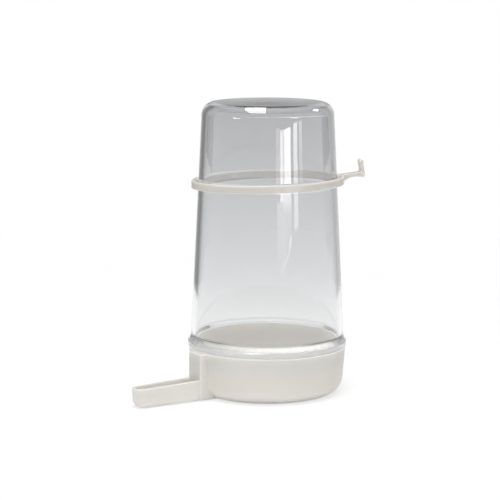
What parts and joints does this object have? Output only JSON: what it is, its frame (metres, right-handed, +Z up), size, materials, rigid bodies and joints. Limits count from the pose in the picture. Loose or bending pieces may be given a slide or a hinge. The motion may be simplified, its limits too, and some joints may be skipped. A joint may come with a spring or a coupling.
{
  "type": "tube bird drinker",
  "caption": "Clear tapered reservoir dome that lifts out of a milky base with an open drinking trough, with a hooked hanger ring that turns round the dome.",
  "frame": {"origin": "on the dome's axis, in the plane of the flat underside that the base stands on", "axes": "+Z up along the dome's axis, -Y along the trough towards its tip"},
  "size_m": [0.0848, 0.1318, 0.1552],
  "materials": {
    "milky_plastic": "satin moulded, slightly translucent, warm white",
    "clear_plastic": "clear glossy moulded, faint grey-blue tint",
    "ivory_plastic": "satin moulded, off-white"
  },
  "bodies": {
    "base": {"drinking_base": "milky_plastic"},
    "reservoir": {"reservoir_dome": "clear_plastic"},
    "ring": {"hanger_ring": "ivory_plastic"}
  },
  "joints": [
    {"name": "reservoir_lift", "type": "slide", "parent": "base", "child": "reservoir", "axis": [0, 0, 1], "range_m": [0, 0.06]},
    {"name": "ring_turn", "type": "hinge", "parent": "reservoir", "child": "ring", "pos_m": [0, 0, 0.1149], "axis": [0, 0, 1], "continuous": true}
  ]
}
